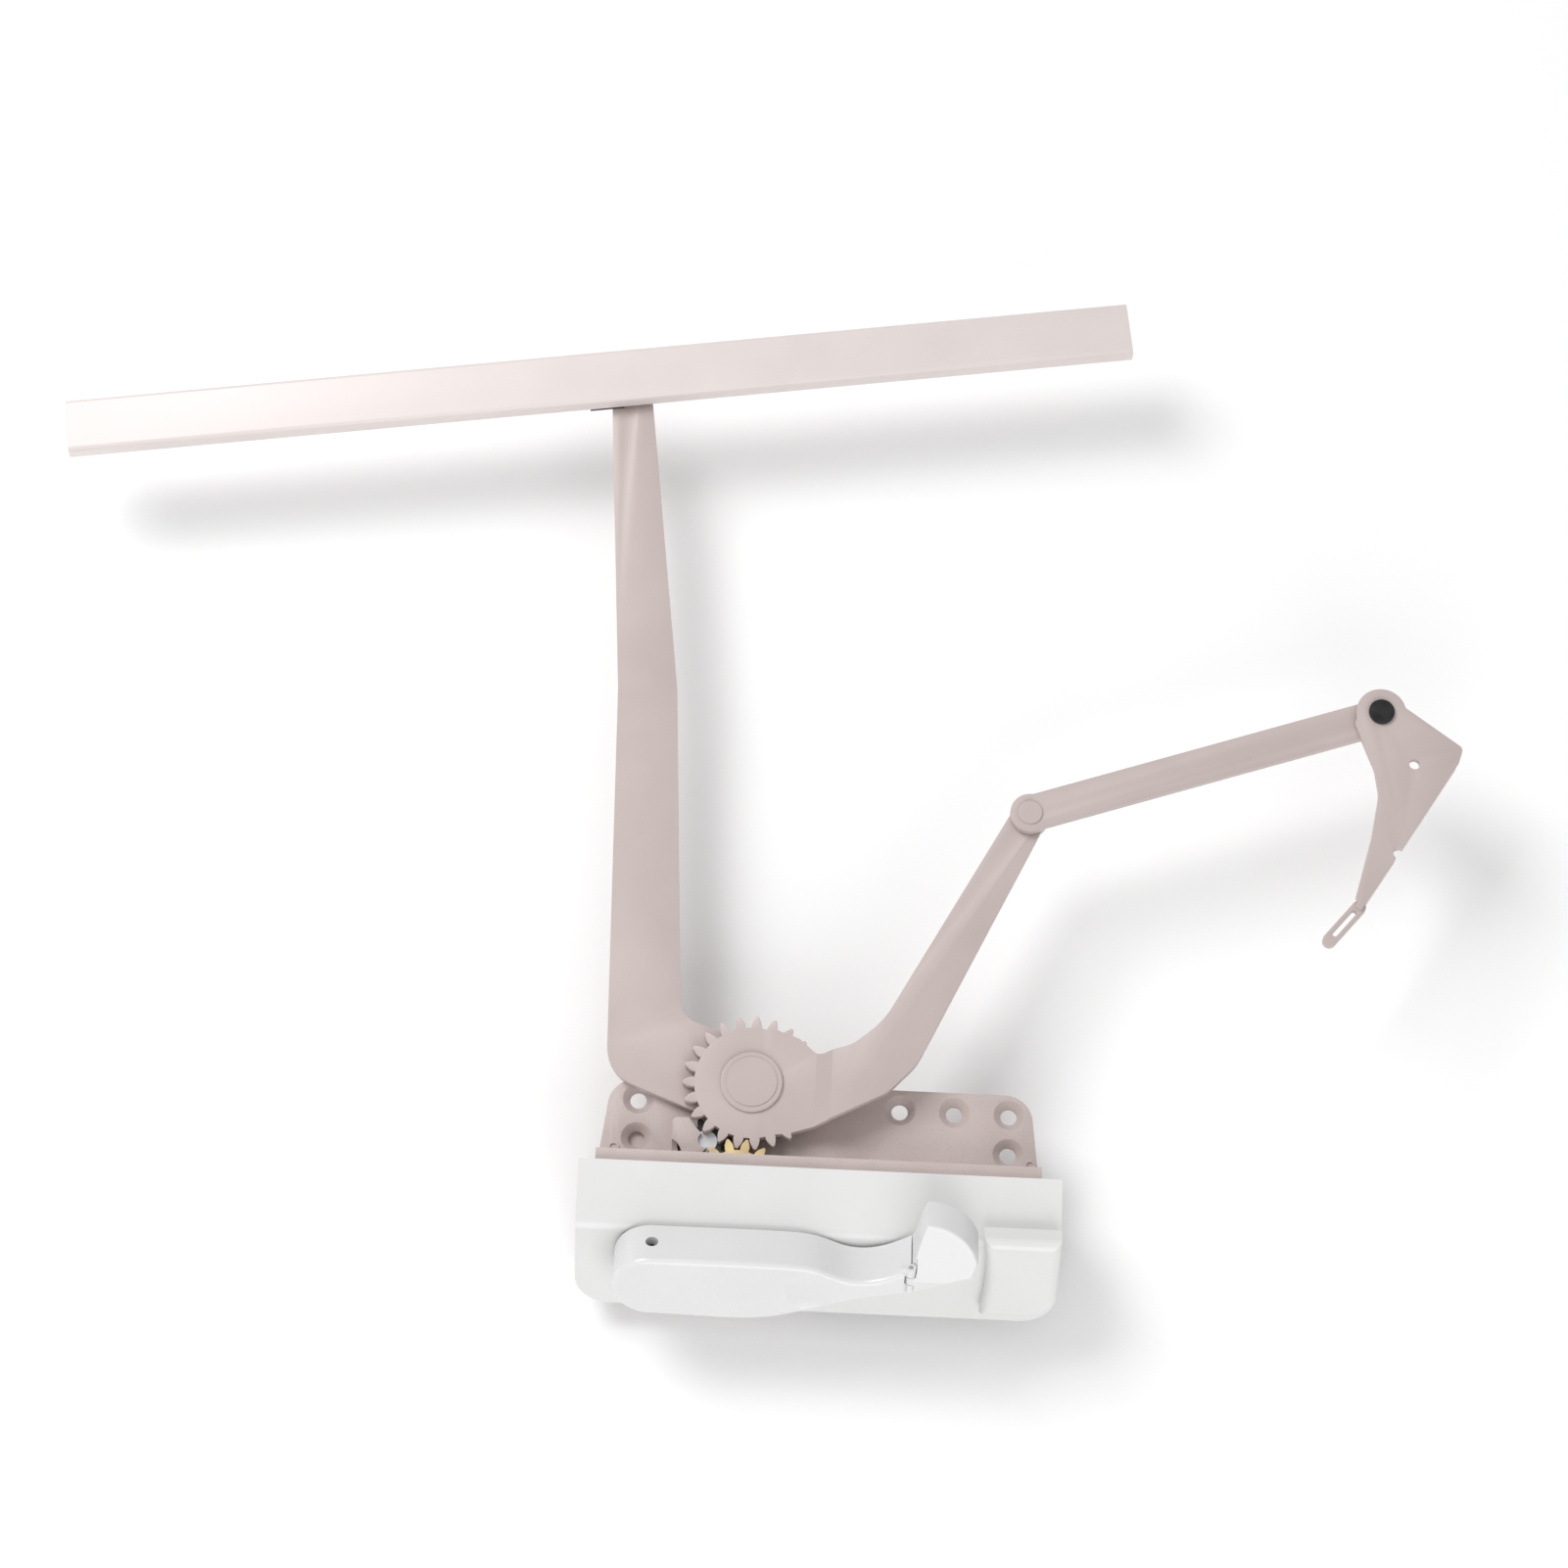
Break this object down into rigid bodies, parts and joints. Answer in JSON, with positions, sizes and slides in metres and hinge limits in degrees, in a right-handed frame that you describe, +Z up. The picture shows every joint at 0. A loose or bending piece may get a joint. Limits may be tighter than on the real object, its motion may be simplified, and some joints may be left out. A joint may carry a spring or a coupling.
{
  "type": "casement window operator",
  "caption": "Dual-arm casement window operator: sill base with covered folding crank, gear-driven long arm with sliding shoe and sash track, and split arm with link and sash bracket.",
  "frame": {"origin": "centre of the four corner screw holes, on the underside of the base plate where it lies on the sill", "axes": "+Z up off the sill, +X along the base and the track, +Y outdoors towards the track; arms at rest fully open"},
  "size_m": [0.458, 0.3474, 0.0612],
  "materials": {
    "taupe_casting": "satin sprayed paint on die-cast zinc",
    "taupe_paint": "satin sprayed paint on pressed steel",
    "track_paint": "satin sprayed paint on roll-formed steel",
    "white_cover": "moulded, semi-gloss",
    "white_enamel": "semi-gloss enamel on die-cast zinc",
    "gold_zinc": "yellow passivated zinc plate",
    "zinc_steel": "bright zinc plate",
    "black_oxide": "black oxide",
    "bronze_bush": "sintered bronze",
    "shoe_nylon": "black nylon",
    "white_washer": "acetal",
    "black_rubber": "moulded"
  },
  "bodies": {
    "base": {"base_casting": "taupe_casting", "gearbox_plate": "zinc_steel", "gearbox_screws": "zinc_steel", "cover": "white_cover", "pivot_rivet": "taupe_paint", "lower_washer": "zinc_steel", "arm_washer": "white_washer", "pinion_pin": "zinc_steel", "idler_pin": "zinc_steel", "shaft_bush": "bronze_bush"},
    "long_arm": {"long_arm": "taupe_paint", "shoe_stud": "zinc_steel"},
    "split_arm": {"split_arm": "taupe_paint"},
    "pinion": {"drive_pinion": "gold_zinc", "worm_wheel": "zinc_steel"},
    "idler": {"idler_gear": "black_oxide"},
    "crank": {"worm_shaft": "zinc_steel", "crank_handle": "white_enamel", "set_screw": "black_oxide", "knob_pin": "zinc_steel"},
    "knob": {"folding_knob": "white_enamel"},
    "shoe": {"track_shoe": "shoe_nylon"},
    "track": {"track": "track_paint", "track_stop": "black_rubber"},
    "link": {"link_arm": "taupe_paint", "elbow_rivet": "taupe_paint", "link_stud": "black_oxide", "elbow_washer": "white_washer", "bracket_washer": "white_washer"},
    "bracket": {"sash_bracket": "taupe_paint"}
  },
  "joints": [
    {"name": "long_arm_swing", "type": "hinge", "parent": "base", "child": "long_arm", "pos_m": [-0.023, 0.011, 0.0037], "axis": [0, 0, 1], "range_deg": [-94, 0]},
    {"name": "split_arm_swing", "type": "hinge", "parent": "base", "child": "split_arm", "pos_m": [-0.023, 0.011, 0.0075], "axis": [0, 0, 1], "range_deg": [0, 94]},
    {"name": "pinion_turn", "type": "hinge", "parent": "base", "child": "pinion", "pos_m": [-0.02638, -0.0212, 0.0037], "axis": [0, 0, 1], "range_deg": [-154.43, 0]},
    {"name": "idler_turn", "type": "hinge", "parent": "base", "child": "idler", "pos_m": [-0.03647, -0.00776, 0.0037], "axis": [0, 0, 1], "range_deg": [0, 216.2]},
    {"name": "crank_turn", "type": "hinge", "parent": "base", "child": "crank", "pos_m": [-0.05137, -0.0435, 0.00397], "axis": [0, -0.866, 0.5], "range_deg": [0, 2470.86]},
    {"name": "knob_fold", "type": "hinge", "parent": "crank", "child": "knob", "pos_m": [0.02863, -0.0518, 0.01939], "axis": [0, -0.5, -0.866], "range_deg": [0, 90]},
    {"name": "track_turn", "type": "hinge", "parent": "long_arm", "child": "shoe", "pos_m": [-0.07352, 0.25073, 0.0117], "axis": [0, 0, 1], "range_deg": [-90, 90]},
    {"name": "track_slide", "type": "slide", "parent": "shoe", "child": "track", "axis": [0.9888, 0.1495, 0], "range_m": [-0.144, 0.165]},
    {"name": "elbow_turn", "type": "hinge", "parent": "split_arm", "child": "link", "pos_m": [0.06168, 0.10213, 0.0162], "axis": [0, 0, 1], "range_deg": [-60, 130]},
    {"name": "bracket_turn", "type": "hinge", "parent": "link", "child": "bracket", "pos_m": [0.17325, 0.14055, 0.0197], "axis": [0, 0, 1], "range_deg": [-45, 90]}
  ],
  "couplings": [
    {"joint": "split_arm_swing", "follows": "long_arm_swing", "ratio": -1},
    {"joint": "pinion_turn", "follows": "long_arm_swing", "ratio": 1.6429},
    {"joint": "idler_turn", "follows": "long_arm_swing", "ratio": -2.3},
    {"joint": "crank_turn", "follows": "long_arm_swing", "ratio": -26.286}
  ]
}
